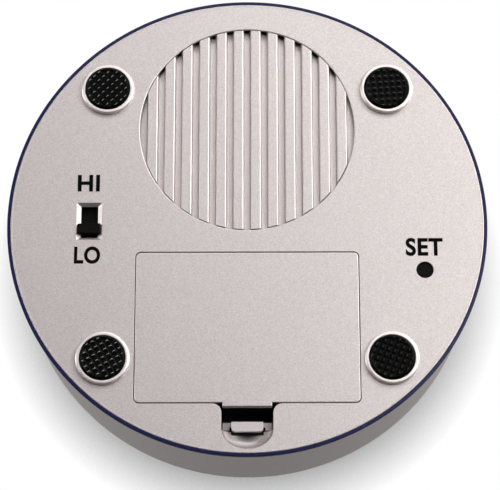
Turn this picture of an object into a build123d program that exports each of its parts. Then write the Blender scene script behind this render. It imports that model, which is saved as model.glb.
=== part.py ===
from build123d import *
import os
from math import cos, radians, sin, sqrt

# A round talking clock that stands on four rubber feet. Its base carries the speaker grille, the battery
# compartment, the volume switch and the set button; its top is one large talk button.
# Millimetres. +Z goes up through the talk button, z = 0 is the surface that the feet stand on, and the
# battery latch is on the -Y side. The three cells set the compartment's size, the compartment sets the
# cover's, the cover and the feet beside it set the plate's, and the rest follows from the plate.

# Clearances
seam = 0.15             # line between two pieces that don't move
slip = 0.3              # running gap round a piece that slides or swings
fit = 0.05              # radial gap of a screw or pin in its hole
lay = 0.05              # gap between two pieces that are clamped on each other
seat = 0.1              # gap under a piece that lies on a ledge
root = 0.1              # how far a post or rib runs into what carries it
overrun = 1.0           # how far a cut runs past what it cuts

# Battery compartment: three AAA cells side by side
cell_r = 5.2
cell_l = 44.5
cell_nub_r = 1.9
cell_nub_l = 0.9
cell_edge_r = 0.5
cell_gap = 0.3          # between two cells
cell_count = 3
well_end_room = 4.7     # room along the cells for their contacts
well_side_gap = 0.375   # beside the outer cells
well_wall = 1.5
contact_t = 0.4
contact_w = 8.4
contact_h = 9.0
bump_r = 2.2
bump_tip_r = 1.1
bump_h = 0.4
coil_foot_r = 4.0
coil_tip_r = 2.7
coil_wire = 0.5

# Battery cover and its latch
cover_t = 1.5
cover_end_lap = 0.95    # past the compartment's ends
cover_side_lap = 1.5    # past its sides
cover_corner_r = 1.1
cover_edge_r = 0.2      # its outer edge; the cover turns about this round on the hinged side
cover_gap = 0.19
cover_rib_t = 1.0
cover_rib_h = 1.0
cover_rib_count = 3
cover_tab_w = 6.0
cover_tab_reach = 1.5
cover_tab_t = 1.1
cover_tab_foot = 1.0
cover_tab_spacing = 34.0
cover_tab_gap = 0.2     # between a tab and the plate's inside
cover_tongue = 1.15     # the cover runs out this far to its latch
cover_tongue_edge = 0.4 # slope at that end
latch_w = 11.2
latch_t = 1.0
latch_loop_r = 1.7      # inside radius of the latch's bend
latch_depth = 5.9       # from the cover's inside to the start of the bend
latch_side_gap = 0.25
notch_corner_r = 2.1
tab_w = 7.16            # finger tab
tab_t = 1.2
tab_lap = 0.35          # over the finger scoop
tab_corner_r = 0.9
tab_inset = 0.1
tab_relief_w = 0.45     # notch in the nose at each side of the tab
tab_relief_l = 0.7
nose_t = 1.5
nose_hook = 0.75        # nose beyond the latch's leg
scoop_w = 11.6
scoop_l = 4.3
scoop_rim = 0.85        # from the scoop to the plate's edge
scoop_depth = 2.4
scoop_pad_t = 1.3       # plate's extra thickness over the scoop
scoop_pad_edge = 1.2

# Rubber feet in their rings
foot_cover_gap = 1.05   # from the cover's side to a ring
foot_ring_r = 6.2
foot_ring_drop = 1.1    # ring below the plate
foot_ring_edge_r = 0.45
foot_pad_r = 5.2
foot_pad_t = 2.2
foot_proud = 0.5        # rubber below its ring
foot_pad_edge = 0.3
foot_rim = 1.96         # from a ring to the plate's edge

# Base plate
plate_t = 2.0
plate_rim_t = 0.35      # thin rim that covers the trim ring's flange
plate_step = 0.8        # from the rim's edge in to the thick plate
plate_edge_r = 0.25

# Case screws, in sleeves over the feet
case_head_r = 2.5
case_head_t = 1.9
case_slot_r = 1.7       # cross recess
case_slot_t = 0.65
case_slot_w = 0.3
case_shank_r = 1.3
case_shank_l = 11.0
sleeve_r = 4.0
sleeve_h = 4.8
sleeve_rib_t = 1.0
sleeve_rib_l = 2.4
sleeve_rib_drop = 0.5   # ribs end below the sleeve's top

# Trim ring between the base and the upper shell
trim_lip_w = 0.6
trim_flange_t = 0.4
trim_edge_r = 0.15

# Speaker grille
grille_edge = 6.5       # from the grille to the plate's edge
grille_cover_gap = 5.46
grille_lip_t = 0.5      # plate left standing round the grille
grille_lip_edge_r = 0.25
grille_channel = 2.0    # hollow behind that lip
disc_lap = 3.65         # disc beyond the bars
disc_t = 1.2
bar_pitch = 4.03
bar_w = 2.1             # flat face of a bar
bar_draft = 0.33        # each side wall leans out by this
bar_edge = 0.08
slot_w = 1.1
slot_l = 1.3

# Speaker
speaker_wall_t = 1.1
speaker_wall_h = 3.6
gasket_t = 0.7
gasket_w = 1.9
speaker_rim_t = 1.0
speaker_rim_w = 2.3
basket_h = 9.0
basket_t = 0.8
basket_collar = 2.4
basket_windows = 6
basket_window_w = 7.0
basket_back_gap = 1.6   # from a window to the basket's back
magnet_r = 14.0
magnet_t = 5.0
yoke_t = 1.6
yoke_edge = 0.5
cone_t = 0.5
cone_h = 6.5
cone_foot_w = 1.5
coil_r = 6.5
dust_cap_h = 2.0
clamp_boss_r = 2.5
clamp_boss_out = 1.95   # boss's centre beyond the speaker wall
clamp_angles = (-6.0, 186.0, 222.0, 318.0)
clamp_washer_r = 3.2
clamp_washer_t = 0.8
clamp_head_r = 2.1
clamp_head_t = 0.8
clamp_shank_r = 1.1
clamp_shank_l = 4.5

# Upper shell
trim_proud = 0.15       # trim ring beyond the shell
shell_wall = 1.8
shell_draft = 0.042     # radius lost for each millimetre of height
shell_corner_round = 6.0
shoulder_w = 12.15      # from the shell's foot in to the button's opening
shoulder_rise = 1.3
collar_wall = 1.8
shelf_gap = 4.9         # from the speaker up to the shelf under the button
shelf_t = 1.5
shelf_w = 9.0
neck_h = 7.1            # from that shelf up to where wall and shoulder would meet
post_r = 3.6
post_hole_depth = 9.0

# Talk button
button_inset = 0.3      # its rim below the opening's edge
button_rise = 6.4
button_wall = 2.0
button_edge_r = 1.2
skirt_gap = 2.9         # from the shelf up to the button's skirt
plunger_r = 4.5
plunger_bore_r = 3.2
plunger_floor = 2.0
hook_count = 4
hook_t = 2.0
hook_w = 8.0
hook_barb = 1.5
hook_barb_t = 1.4
hook_barb_edge = 0.7
hook_gap = 0.2          # barb below the shelf at rest
spring_count = 4
spring_r = 2.4
spring_wire = 0.5
spring_length = 5.5
spring_inset = 5.2      # from the opening in to the springs' centres
spring_peg_l = 1.5
spring_seat_r = 3.1

# Boards, their posts and their screws
board_t = 1.6
board_corner_r = 1.6
small_post_r = 1.9
small_shank_r = 0.8
small_shank_l = 5.0
small_head_r = 1.6
small_head_t = 1.0
small_head_edge_r = 0.5

# Main board, above the battery compartment
main_gap = 0.5          # above the compartment's ceiling
main_end_gap = 0.7      # from the board's end to the case's posts
main_post_r = 2.3
main_post_gap = 0.6     # beside the compartment
main_post_edge = 2.5    # from a post's centre to the board's side
main_post_end = 3.1     # from a post's centre to the board's end
main_post_spacing = 14.0
dome_r = 5.0
dome_tip_r = 3.2
dome_h = 4.0
dome_wall = 0.9
dome_flange_t = 0.8
dome_flange_r = 6.5
blob_r = 6.0
blob_h = 1.8
blob_x = -15.0
blob_end = 12.6         # from the board's end, as the next ones
crystal_l = 10.6
crystal_w = 4.4
crystal_h = 3.5
crystal_edge_r = 0.3
crystal_end = 10.6
cap_r = 2.5
cap_h = 7.0
cap_edge = 0.3
cap_gap = 1.2           # beside the crystal
cap_pitch = 6.5
cap_count = 2
cap_end = 8.6
chip_l = 2.0
chip_w = 1.25
chip_h = 0.5
chip_pitch = 3.2
chip_rows = 2
chip_columns = 4
chip_x = 8.0
chip_end = 19.6

# Volume switch
volume_y = 0.12
window_w = 3.9
window_l = 7.5
bevel_w = 5.9
bevel_l = 9.1
bevel_depth = 0.7
knob_travel = 3.8
knob_w = 5.4
knob_l = 2.5
knob_t = 0.75
knob_proud = 0.7        # knob below the plate
knob_edge = 0.2
knob_corner_r = 0.4
knob_stem_w = 3.5
slider_w = 5.4
slider_lap = 0.17       # beyond the window when the knob is at its end
slider_t = 0.7
lever_w = 1.5
lever_l = 1.5
lever_h = 2.2
switch_w = 6.0
switch_l = 9.4
switch_h = 4.0
switch_edge = 0.3
volume_board_w = 9.0
volume_board_l = 25.4
volume_board_gap = 0.7  # beside the main board's posts
volume_screw_end = 2.1  # from a screw's centre to the board's end

# Set button
set_y = -11.8
set_button_r = 1.9
set_button_gap = 0.1
set_button_edge_r = 0.15
set_recess = 0.5        # its face above the plate's outer face
set_flange_r = 3.0
set_flange_t = 0.6
set_collar_wall = 1.3
set_collar_h = 1.6
set_travel = 0.5
set_stem_h = 0.7        # stem above its flange
tact_w = 6.0
tact_h = 3.5
tact_edge = 0.3
tact_plunger_r = 1.7
tact_plunger_out = 0.9
tact_plunger_in = 0.6
set_board_w = 10.0
set_board_l = 21.0
set_board_gap = 4.5     # beside the main board's posts
set_screw_end = 2.3     # from a screw's centre to the board's end

# Sizes and places that follow from these
cell_pitch = 2 * cell_r + cell_gap
cells_w = (cell_count - 1) * cell_pitch + 2 * cell_r
well_l = cell_l + well_end_room
well_w = cells_w + 2 * well_side_gap
cover_w = well_l + 2 * cover_end_lap
cover_l = well_w + 2 * cover_side_lap
foot_x = cover_w / 2 + foot_cover_gap + foot_ring_r
foot_places = [(sx * foot_x, sy * foot_x) for sx in (-1, 1) for sy in (-1, 1)]
plate_r = sqrt(2) * foot_x + foot_ring_r + foot_rim
plate_body_r = plate_r - plate_step
trim_r = plate_r + seam + trim_lip_w
shell_foot_r = trim_r - trim_proud
opening_r = shell_foot_r - shoulder_w
button_r = opening_r - slip
collar_r = opening_r + collar_wall
shelf_in_r = opening_r - shelf_w
spring_place_r = opening_r - spring_inset
peg_r = spring_r - spring_wire - seam

scoop_y = scoop_rim + scoop_l - plate_r
notch_w = latch_w + 2 * latch_side_gap
notch_l = 2 * (latch_t + latch_loop_r) + nose_hook
notch_y = scoop_y + notch_l
cover_end_y = notch_y + cover_gap
cover_top_y = cover_end_y + cover_l
cover_mid_y = (cover_end_y + cover_top_y) / 2
hinge_y = cover_top_y - cover_edge_r
well_y0 = cover_end_y + cover_side_lap
well_y1 = cover_top_y - cover_side_lap
latch_in_y = notch_y + seam
latch_bend_y = latch_in_y - latch_t - latch_loop_r
latch_out_y = latch_bend_y - latch_loop_r

grille_y0 = cover_top_y + cover_gap + grille_cover_gap
grille_y1 = plate_r - grille_edge
grille_r = (grille_y1 - grille_y0) / 2
grille_y = (grille_y1 + grille_y0) / 2
bar_count = int(2 * grille_r / bar_pitch)
disc_r = grille_r + disc_lap
speaker_r = disc_r - slip
basket_r = speaker_r - speaker_rim_w
speaker_wall_r = disc_r + seam

main_post_x = well_l / 2 + well_wall + main_post_gap + main_post_r
main_half_w = main_post_x + main_post_edge
main_y0 = post_r + main_end_gap - foot_x
main_y1 = dome_flange_r + seat
main_post_y = main_y0 + main_post_end
volume_x = main_post_x + main_post_r + volume_board_gap + volume_board_w / 2
volume_screw_offset = volume_board_l / 2 - volume_screw_end
knob_y = volume_y - knob_travel / 2
slider_l = window_l + knob_travel + 2 * slider_lap
set_x = -(main_post_x + main_post_r + set_board_gap + set_board_w / 2)
set_screw_offset = set_board_l / 2 - set_screw_end
set_hole_r = set_button_r + set_button_gap
cap_x = crystal_l / 2 + cap_gap + cap_r

# Heights that follow
plate_z = foot_proud + foot_ring_drop
plate_top = plate_z + plate_t
rim_z = plate_z + plate_rim_t
trim_top = rim_z + lay + trim_flange_t
shell_foot_z = trim_top + lay
shell_rest_z = plate_top + seat
sleeve_top = plate_top + sleeve_h
cover_in = plate_z + cover_t
ledge_z = cover_in + seat
hinge_z = plate_z + cover_edge_r
cover_tab_z = plate_top + cover_tab_gap
cell_z = cover_in + cover_rib_h + slip + seat + cell_r
ceiling_z = cell_z + cell_r + slip
well_top = ceiling_z + well_wall
main_z = well_top + main_gap
main_top = main_z + board_t
latch_bend_z = cover_in + latch_depth
disc_top = plate_top + disc_t
speaker_z = disc_top + gasket_t
magnet_z = speaker_z + basket_h
yoke_z = magnet_z + magnet_t
clamp_z = plate_top + speaker_wall_h
shelf_z = yoke_z + yoke_t + shelf_gap
shelf_top = shelf_z + shelf_t
shell_corner_z = shelf_top + neck_h
shell_top = shell_corner_z + shoulder_rise
button_rim_z = shell_top - button_inset
skirt_z = shelf_top + skirt_gap
spring_top = shelf_top + spring_length
plunger_z = main_top + dome_h + slip
slider_z = plate_top + seat
switch_z = slider_z + slider_t + slip
volume_board_z = switch_z + switch_h
set_flange_z = plate_top + seat
set_stem_top = plate_top + set_flange_t + set_stem_h
set_plunger_z = set_stem_top + seat
set_switch_z = set_plunger_z + tact_plunger_out
set_board_z = set_switch_z + tact_h


def cyl(r, z0, z1, x=0, y=0):
    return Pos(x, y, z0) * Cylinder(r, z1 - z0, align=(Align.CENTER, Align.CENTER, Align.MIN))


def tube(r_out, r_in, z0, z1, x=0, y=0):
    return cyl(r_out, z0, z1, x, y) - cyl(r_in, z0 - overrun, z1 + overrun, x, y)


def cone(r0, r1, height):
    return Cone(r0, r1, height, align=(Align.CENTER, Align.CENTER, Align.MIN))


def block(x0, x1, y0, y1, z0, z1):
    box = Box(x1 - x0, y1 - y0, z1 - z0, align=(Align.MIN, Align.MIN, Align.MIN))
    return Pos(x0, y0, z0) * box


def slab(x, y, w, l, z0, z1):
    # a block centred on x and y
    return block(x - w / 2, x + w / 2, y - l / 2, y + l / 2, z0, z1)


def rod(r, length, y, z):
    # a round bar along X
    return Pos(0, y, z) * Rot(0, 90, 0) * Cylinder(r, length)


def plate_of(sketch, z0, z1):
    return extrude(Pos(0, 0, z0) * sketch, z1 - z0)


def turned(points, x=0, y=0):
    # a solid of revolution from (radius, height) points
    face = Plane.XZ * make_face(Polyline(*points, close=True))
    return Pos(x, y, 0) * revolve(face, Axis.Z)


def dome(r, z, rise):
    # a spherical cap of radius r that stands on height z
    ball = (r ** 2 + rise ** 2) / (2 * rise)
    mid = r / 2
    arc = ThreePointArc((r, z), (mid, z + rise - ball + sqrt(ball ** 2 - mid ** 2)), (0, z + rise))
    base = Polyline((0, z + rise), (0, z), (r, z))
    return revolve(Plane.XZ * make_face(Curve() + [arc, base]), Axis.Z)


def round_places(r, count, y=0):
    return [(r * cos(radians(n * 360 / count)), y + r * sin(radians(n * 360 / count))) for n in range(count)]


def save(shape, name):
    export_step(shape, "parts/" + name + ".step")


# Base

def cover_outline():
    # the cover's recess together with the latch notch, whose corners are rounded
    recess = RectangleRounded(cover_w + 2 * cover_gap, cover_l + 2 * cover_gap, cover_corner_r + cover_gap)
    notch = Pos(0, notch_y) * Rectangle(notch_w, notch_l, align=(Align.CENTER, Align.MAX))
    joined = Pos(0, cover_mid_y) * recess + notch
    corners = joined.vertices().filter_by(lambda v: abs(v.Y - notch_y) < fit and abs(v.X) < notch_w)
    return fillet(corners, notch_corner_r)


def well_walls():
    half = well_l / 2 + well_wall
    return block(-half, half, well_y0 - well_wall, well_y1 + well_wall, plate_z, well_top)


def well_cuts():
    outline = cover_outline()
    notch = Pos(0, notch_y) * Rectangle(cover_w, notch_l + overrun, align=(Align.CENTER, Align.MAX))
    half = well_l / 2
    yield plate_of(outline, plate_z - overrun, ledge_z)
    yield block(-half, half, well_y0, well_y1, plate_z, ceiling_z)
    yield plate_of(outline & notch, plate_z - overrun, plate_top + overrun)
    half = notch_w / 2
    yield block(-half, half, scoop_y, latch_in_y + cover_gap, ledge_z, well_top + overrun)


def tab_pockets():
    # room behind the hinged edge for the cover's tabs to swing in
    tip_y = cover_top_y + cover_tab_reach - hinge_y
    tip_z = cover_tab_z + cover_tab_t - hinge_z
    top = hinge_z + sqrt(tip_y ** 2 + tip_z ** 2) + slip
    half = cover_tab_w / 2 + slip
    for side in (-1, 1):
        x = side * cover_tab_spacing / 2
        yield block(x - half, x + half, well_y1 - overrun, cover_top_y + cover_gap, cover_in, top)


def scoop():
    # half of a bowl, open to the latch
    bowl = scale(Sphere(1), by=(scoop_w / 2, scoop_l, scoop_depth))
    return Pos(0, scoop_y, plate_z) * bowl


def scoop_pad():
    top = plate_top + scoop_pad_t
    half = scoop_w / 2 + scoop_pad_edge
    pad = block(-half, half, scoop_y - scoop_l, scoop_y, plate_top - root, top)
    return pad & cyl(shell_radius(top) - shell_wall - slip, plate_z, top)


def volume_window():
    straight = Pos(volume_x, volume_y) * Rectangle(window_w, window_l)
    wide = Pos(volume_x, volume_y, plate_z) * Rectangle(bevel_w, bevel_l)
    narrow = Pos(volume_x, volume_y, plate_z + bevel_depth) * Rectangle(window_w, window_l)
    return plate_of(straight, plate_z, plate_top + overrun) + loft([wide, narrow])


def foot_rings():
    rings = Part()
    for x, y in foot_places:
        ring = cyl(foot_ring_r, foot_proud, rim_z, x, y)
        rings += fillet(ring.edges().sort_by(Axis.Z)[0], foot_ring_edge_r)
    return rings


def screw_sleeves():
    # a sleeve over each foot, stiffened by four ribs
    sleeves = Part()
    length = 2 * (sleeve_r + sleeve_rib_l)
    top = sleeve_top - sleeve_rib_drop
    for x, y in foot_places:
        sleeves += cyl(sleeve_r, plate_z, sleeve_top, x, y)
        sleeves += slab(x, y, length, sleeve_rib_t, plate_top - root, top)
        sleeves += slab(x, y, sleeve_rib_t, length, plate_top - root, top)
    return sleeves


def foot_bores():
    pocket_z = foot_pad_t + seat
    for x, y in foot_places:
        yield cyl(foot_pad_r + seam, -overrun, pocket_z, x, y)
        yield cyl(case_head_r + seam, pocket_z - overrun, pocket_z + case_head_t + seat, x, y)
        yield cyl(case_shank_r + seam, pocket_z, sleeve_top + overrun, x, y)


def clamp_places():
    r = speaker_wall_r + speaker_wall_t + clamp_boss_out
    return [(r * cos(radians(a)), grille_y + r * sin(radians(a))) for a in clamp_angles]


def main_places():
    ys = (main_post_y, main_post_y + main_post_spacing)
    return [(side * main_post_x, y) for side in (-1, 1) for y in ys]


def volume_places():
    return [(volume_x, volume_y + side * volume_screw_offset) for side in (-1, 1)]


def set_places():
    return [(set_x, set_y + side * set_screw_offset) for side in (-1, 1)]


def posts(places, r, top):
    return Part() + [cyl(r, plate_top - root, top, x, y) for x, y in places]


def pilot_holes(places, shank_r, depth, top):
    for x, y in places:
        yield cyl(shank_r + fit, top - depth, top + overrun, x, y)


def all_posts():
    shape = posts(volume_places(), small_post_r, volume_board_z)
    shape += posts(set_places(), small_post_r, set_board_z)
    shape += posts(main_places(), main_post_r, main_z)
    return shape + posts(clamp_places(), clamp_boss_r, clamp_z)


def all_pilot_holes():
    depth = small_shank_l - board_t + slip
    yield from pilot_holes(volume_places(), small_shank_r, depth, volume_board_z)
    yield from pilot_holes(set_places(), small_shank_r, depth, set_board_z)
    yield from pilot_holes(main_places(), small_shank_r, depth, main_z)
    yield from pilot_holes(clamp_places(), clamp_shank_r, clamp_shank_l + slip, clamp_z)


def base_plate():
    rim = cyl(plate_r, plate_z, rim_z)
    return fillet(rim.edges().sort_by(Axis.Z)[0], plate_edge_r) + cyl(plate_body_r, rim_z, plate_top)


def grille_opening():
    # a hole whose outer edge is rounded
    hole_r = grille_r + seam
    wide_r = hole_r + grille_lip_edge_r
    round_top = plate_z + grille_lip_edge_r
    flare = cyl(wide_r, plate_z, round_top) - Pos(0, 0, round_top) * Torus(wide_r, grille_lip_edge_r)
    return Pos(0, grille_y, 0) * (cyl(hole_r, plate_z - overrun, plate_top) + flare)


def base_housing():
    set_collar_in = set_flange_r + slip
    set_collar_out = set_collar_in + set_collar_wall
    body = base_plate() + well_walls() + foot_rings() + screw_sleeves()
    body += tube(speaker_wall_r + speaker_wall_t, speaker_wall_r, plate_top - root, clamp_z, 0, grille_y)
    body += tube(set_collar_out, set_collar_in, plate_top - root, plate_top + set_collar_h, set_x, set_y)
    body += scoop_pad()
    body += all_posts()
    for cuts in (well_cuts(), tab_pockets(), foot_bores(), all_pilot_holes()):
        for cut in cuts:
            body -= cut
    body -= scoop()
    body -= volume_window()
    body -= cyl(set_hole_r, plate_z - overrun, plate_top + overrun, set_x, set_y)
    body -= grille_opening()
    body -= cyl(grille_r + grille_channel, plate_z + grille_lip_t, disc_top, 0, grille_y)
    return body - cyl(speaker_wall_r, plate_top, well_top, 0, grille_y)


def trim_ring():
    lip_r = trim_r - trim_lip_w
    inner_r = plate_body_r + seam
    flange_z = trim_top - trim_flange_t
    lip = [(lip_r, flange_z), (lip_r, plate_z), (trim_r, plate_z), (trim_r, trim_top)]
    ring = turned(lip + [(inner_r, trim_top), (inner_r, flange_z)])
    outer = ring.edges().filter_by(GeomType.CIRCLE).filter_by(lambda e: abs(e.radius - trim_r) < fit)
    return fillet(outer.sort_by(Axis.Z)[0], trim_edge_r)


def bar_profile(x):
    # a bar's flat face with broken edges, and its two leaning sides
    half = bar_w / 2
    edge = [(half - bar_edge, plate_z), (half + bar_edge, plate_z + bar_edge)]
    side = edge + [(half + bar_draft, plate_top), (half + bar_draft, plate_top + root)]
    points = [(x - w, z) for w, z in reversed(side)] + [(x + w, z) for w, z in side]
    return Plane.XZ * make_face(Polyline(*points, close=True))


def grille():
    # bars on a disc, and sound slots at both ends of every groove
    bars = Part()
    for n in range(bar_count):
        x = (n - (bar_count - 1) / 2) * bar_pitch
        bars += Pos(0, grille_y1, 0) * extrude(bar_profile(x), grille_y1 - grille_y0)
    bars &= cyl(grille_r, plate_z - overrun, disc_top, 0, grille_y)
    z0 = plate_top - overrun
    z1 = disc_top + overrun
    slots = Part()
    for n in range(1, bar_count):
        slots += slab((n - bar_count / 2) * bar_pitch, grille_y, slot_w, 2 * disc_r, z0, z1)
    slots &= tube(grille_r + slot_l, grille_r + seam, z0, z1, 0, grille_y)
    return bars + (cyl(disc_r, plate_top, disc_top, 0, grille_y) - slots)


def foot_pad(x, y):
    pad = cyl(foot_pad_r, 0, foot_pad_t, x, y)
    return chamfer(pad.edges().sort_by(Axis.Z)[0], foot_pad_edge)


def case_screws():
    screws = Part()
    z = foot_pad_t + seat + lay
    top = z + case_head_t
    for x, y in foot_places:
        cross = slab(x, y, 2 * case_slot_r, case_slot_w, z - overrun, z + case_slot_t)
        cross += slab(x, y, case_slot_w, 2 * case_slot_r, z - overrun, z + case_slot_t)
        screws += cyl(case_head_r, z, top, x, y) + cyl(case_shank_r, top, top + case_shank_l, x, y) - cross
    return screws


# Upper shell and talk button

def shell_radius(z):
    return shell_foot_r - (z - shell_foot_z) * shell_draft


def shell_profile(inset):
    # outline of the shell's outside, or of its hollow when inset by the wall
    corner_z = shell_corner_z - inset
    top = corner_z + shoulder_rise
    foot = [(0, shell_foot_z), (shell_foot_r - inset, shell_foot_z)]
    points = foot + [(shell_radius(corner_z) - inset, corner_z), (opening_r, top), (0, top)]
    face = make_face(Polyline(*points, close=True))
    corner = face.vertices().filter_by(lambda v: abs(v.Y - corner_z) < fit and v.X > opening_r + fit)
    return fillet(corner, shell_corner_round - inset)


def shell_posts():
    post_z = sleeve_top + seat
    return Part() + [cyl(post_r, post_z, shell_corner_z, x, y) for x, y in foot_places]


def upper_shell():
    outer = revolve(Plane.XZ * shell_profile(0), Axis.Z)
    shell = outer - revolve(Plane.XZ * shell_profile(shell_wall), Axis.Z)
    shell -= cyl(plate_body_r + seam, shell_foot_z - overrun, shell_rest_z)
    shell += tube(collar_r, opening_r, shelf_z, shell_top)
    shell += shell_posts() & outer
    shell -= cyl(opening_r, shelf_top, shell_top + overrun)
    shell += tube(collar_r, shelf_in_r, shelf_z, shelf_top)
    for x, y in foot_places:
        shell -= cyl(case_shank_r + fit, plate_top, sleeve_top + seat + post_hole_depth, x, y)
    for x, y in round_places(spring_place_r, spring_count):
        shell += cyl(peg_r, shelf_top - root, shelf_top + spring_peg_l, x, y)
    return shell


def button_cap(inset, bottom):
    # the domed cap's outside, or what fills it when inset by a wall
    rim_z = button_rim_z - inset
    return dome(button_r - inset, rim_z, button_rise) + cyl(button_r - inset, bottom, rim_z)


def talk_button():
    cap = button_cap(0, skirt_z)
    rims = cap.edges().filter_by(GeomType.CIRCLE).filter_by(lambda e: abs(e.radius - button_r) < fit)
    cap = fillet(rims.sort_by(Axis.Z)[-1], button_edge_r)
    button = cap - button_cap(button_wall, skirt_z - overrun)
    roof = button_cap(button_wall / 2, plate_top)
    top = button_rim_z + button_rise
    for x, y in round_places(spring_place_r, spring_count):
        button += cyl(spring_seat_r, spring_top, top, x, y) & roof
        button += cyl(peg_r, spring_top - spring_peg_l, spring_top + root, x, y)
    plunger = tube(plunger_r, plunger_bore_r, plunger_z, top)
    plunger += cyl(plunger_r, plunger_z, plunger_z + plunger_floor)
    button += plunger & roof
    for n in range(hook_count):
        button += Rot(0, 0, (n + 1 / 2) * 360 / hook_count) * button_hook(roof, top)
    return button


def button_hook(roof, top):
    # a leg inside the shelf's edge with a barb under the shelf
    leg_r = shelf_in_r - slip
    leg_in_r = leg_r - hook_t
    barb_r = leg_r + hook_barb
    barb_top = shelf_z - hook_gap
    barb_z = barb_top - hook_barb_t
    leg = tube(leg_r, leg_in_r, barb_z, top) & roof
    barb = [(leg_r, barb_z), (barb_r, barb_top - hook_barb_edge), (barb_r, barb_top)]
    ring = leg + turned([(leg_in_r, barb_z)] + barb + [(leg_in_r, barb_top)])
    return ring & block(0, button_r, -hook_w / 2, hook_w / 2, barb_z - overrun, top)


def button_springs():
    places = round_places(spring_place_r, spring_count)
    return Part() + [tube(spring_r, spring_r - spring_wire, shelf_top, spring_top, x, y) for x, y in places]


# Speaker

def speaker_gasket():
    return tube(speaker_r, speaker_r - gasket_w, disc_top, speaker_z, 0, grille_y)


def basket_profile():
    # a straight collar, a cone and a flat back with a hole for the coil
    knee = speaker_z + basket_collar
    coil = coil_r + seam
    outside = [(basket_r, speaker_z), (basket_r, knee), (magnet_r, magnet_z), (coil, magnet_z)]
    back = [(coil, magnet_z - basket_t), (magnet_r - basket_t, magnet_z - basket_t)]
    return outside + back + [(basket_r - basket_t, knee), (basket_r - basket_t, speaker_z)]


def speaker_frame():
    rim = tube(speaker_r, basket_r - basket_t, speaker_z, speaker_z + speaker_rim_t, 0, grille_y)
    frame = rim + turned(basket_profile(), 0, grille_y)
    half = basket_window_w / 2
    z0 = speaker_z + basket_collar
    window = block(magnet_r + basket_t, speaker_r, -half, half, z0, magnet_z - basket_back_gap)
    for n in range(basket_windows):
        frame -= Pos(0, grille_y, 0) * Rot(0, 0, n * 360 / basket_windows) * window
    return frame


def speaker_cone():
    rim_r = basket_r - basket_t - slip
    neck_r = coil_r - cone_t
    neck_z = speaker_z + cone_h
    outside = [(rim_r, speaker_z), (rim_r, speaker_z + cone_t), (coil_r, neck_z + cone_t)]
    inside = [(neck_r, neck_z + cone_t), (neck_r, neck_z), (rim_r - cone_foot_w, speaker_z)]
    return turned(outside + inside, 0, grille_y)


def speaker_dust_cap():
    # a shallow shell over the voice coil, towards the grille
    cap = dome(coil_r - cone_t - seat, 0, dust_cap_h)
    shell = cap - Pos(0, 0, -cone_t) * cap
    return Pos(0, grille_y, speaker_z + cone_h - seat) * Rot(180, 0, 0) * shell


def speaker_magnet():
    return tube(magnet_r, coil_r + slip, magnet_z, yoke_z, 0, grille_y)


def speaker_yoke():
    plate = cyl(magnet_r, yoke_z, yoke_z + yoke_t, 0, grille_y)
    pole = cyl(coil_r - slip, magnet_z, yoke_z + root, 0, grille_y)
    return chamfer(plate.edges().sort_by(Axis.Z)[-1], yoke_edge) + pole


def speaker_clamps():
    screws = Part()
    washer_top = clamp_z + clamp_washer_t
    for x, y in clamp_places():
        screws += cyl(clamp_washer_r, clamp_z, washer_top, x, y)
        screws += cyl(clamp_shank_r, clamp_z - clamp_shank_l, clamp_z, x, y)
        screws += cyl(clamp_head_r, washer_top, washer_top + clamp_head_t, x, y)
    return screws


# Battery compartment

def cell_y(n):
    return cover_mid_y + ((cell_count - 1) / 2 - n) * cell_pitch


def cell_end():
    return well_l / 2 - contact_t - bump_h - fit


def cell(n):
    # the nubs of neighbouring cells point opposite ways
    side = 1 if n % 2 == 0 else -1
    can_l = cell_l - cell_nub_l
    can = cyl(cell_r, 0, can_l)
    can = fillet(can.edges().filter_by(GeomType.CIRCLE), cell_edge_r)
    whole = can + cyl(cell_nub_r, can_l - cell_edge_r, cell_l)
    return Pos(side * (cell_end() - cell_l), cell_y(n), cell_z) * Rot(0, side * 90, 0) * whole


def contact(side, bump_y, coil_y):
    # a spring-metal plate at one end of the compartment; a bump meets a nub, a coil a flat end
    half = well_l / 2
    face_x = half - contact_t
    ys = [y for y in (bump_y, coil_y) if y is not None]
    y0 = min(ys) - contact_w / 2
    y1 = max(ys) + contact_w / 2
    shape = block(face_x, half, y0, y1, cell_z - contact_h / 2, cell_z + contact_h / 2)
    if bump_y is not None:
        shape += Pos(face_x, bump_y, cell_z) * Rot(0, -90, 0) * cone(bump_r, bump_tip_r, bump_h)
    if coil_y is not None:
        length = face_x + cell_end() - cell_l - fit
        coil = cone(coil_foot_r, coil_tip_r, length)
        coil -= cone(coil_foot_r - coil_wire, coil_tip_r - coil_wire, length)
        shape += Pos(face_x, coil_y, cell_z) * Rot(0, -90, 0) * coil
    return shape if side > 0 else mirror(shape, Plane.YZ)


# Battery cover

def cover_panel():
    outline = Pos(0, cover_mid_y) * RectangleRounded(cover_w, cover_l, cover_corner_r)
    tongue_l = cover_tongue + root
    tongue = Pos(0, cover_end_y + root) * Rectangle(latch_w, tongue_l, align=(Align.CENTER, Align.MAX))
    panel = plate_of(outline + tongue, plate_z, cover_in)
    panel = fillet(panel.edges().group_by(Axis.Z)[0], cover_edge_r)
    slope = [(0, 0), (-cover_tongue_edge, 0), (0, cover_tongue_edge)]
    wedge = extrude(Plane.YZ * make_face(Polyline(*slope, close=True)), latch_w, both=True)
    return panel - Pos(0, cover_end_y - cover_tongue, plate_z) * Rot(0, 0, 180) * wedge


def cover_ribs():
    # short of the compartment's walls, so that the cover can swing
    ribs = Part()
    pitch = cover_w / (cover_rib_count + 1)
    for n in range(cover_rib_count):
        x = (n - (cover_rib_count - 1) / 2) * pitch
        ribs += slab(x, cover_mid_y, cover_rib_t, well_w - 2 * slip, cover_in - root, cover_in + cover_rib_h)
    return ribs


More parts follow.
